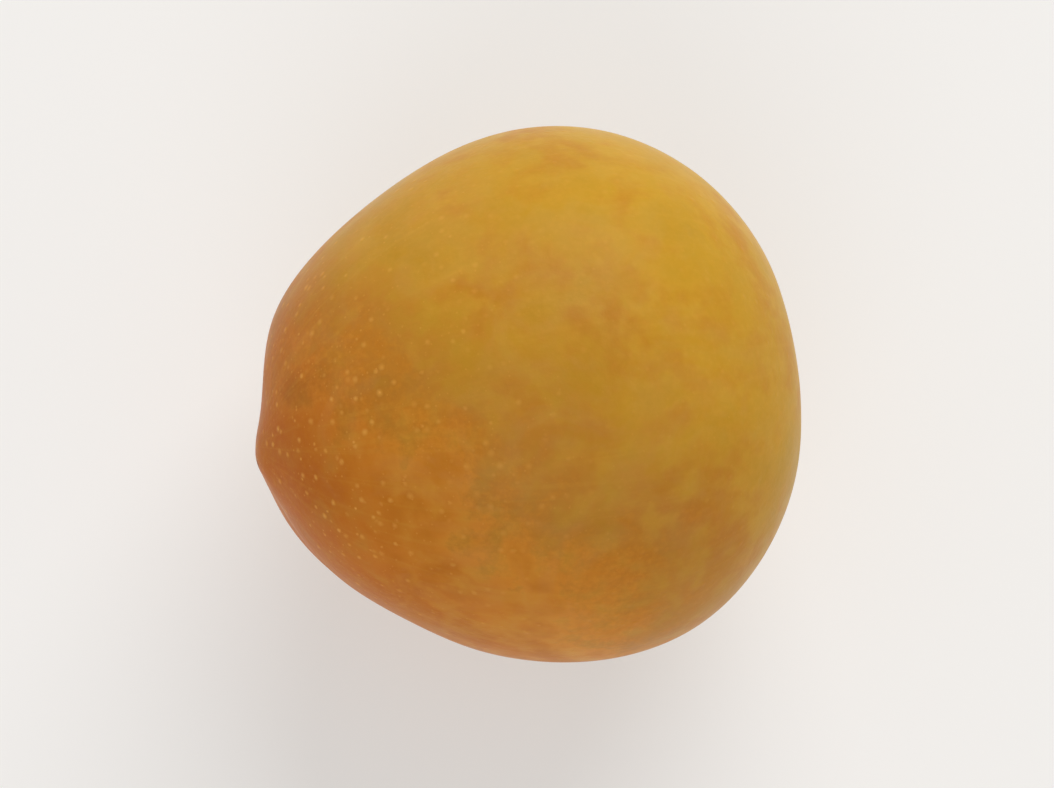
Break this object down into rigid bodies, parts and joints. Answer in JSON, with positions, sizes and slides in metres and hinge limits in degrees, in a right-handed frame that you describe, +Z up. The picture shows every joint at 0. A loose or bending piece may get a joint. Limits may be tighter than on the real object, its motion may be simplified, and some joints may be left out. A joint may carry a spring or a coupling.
{
  "type": "plum",
  "caption": "Whole golden-yellow plum, rounded heart shape with a stem hollow, a suture and a blunt tip, lying on a small flat spot.",
  "frame": {"origin": "centre of the flat spot that the plum rests on, at the level of the surface under it", "axes": "+Z up, +X towards the stem hollow, -X towards the blunt tip, -Y towards the side with the suture"},
  "size_m": [0.048, 0.0474, 0.0459],
  "materials": {
    "plum_skin": "satin"
  },
  "bodies": {
    "root": {"plum": "plum_skin"}
  },
  "joints": []
}
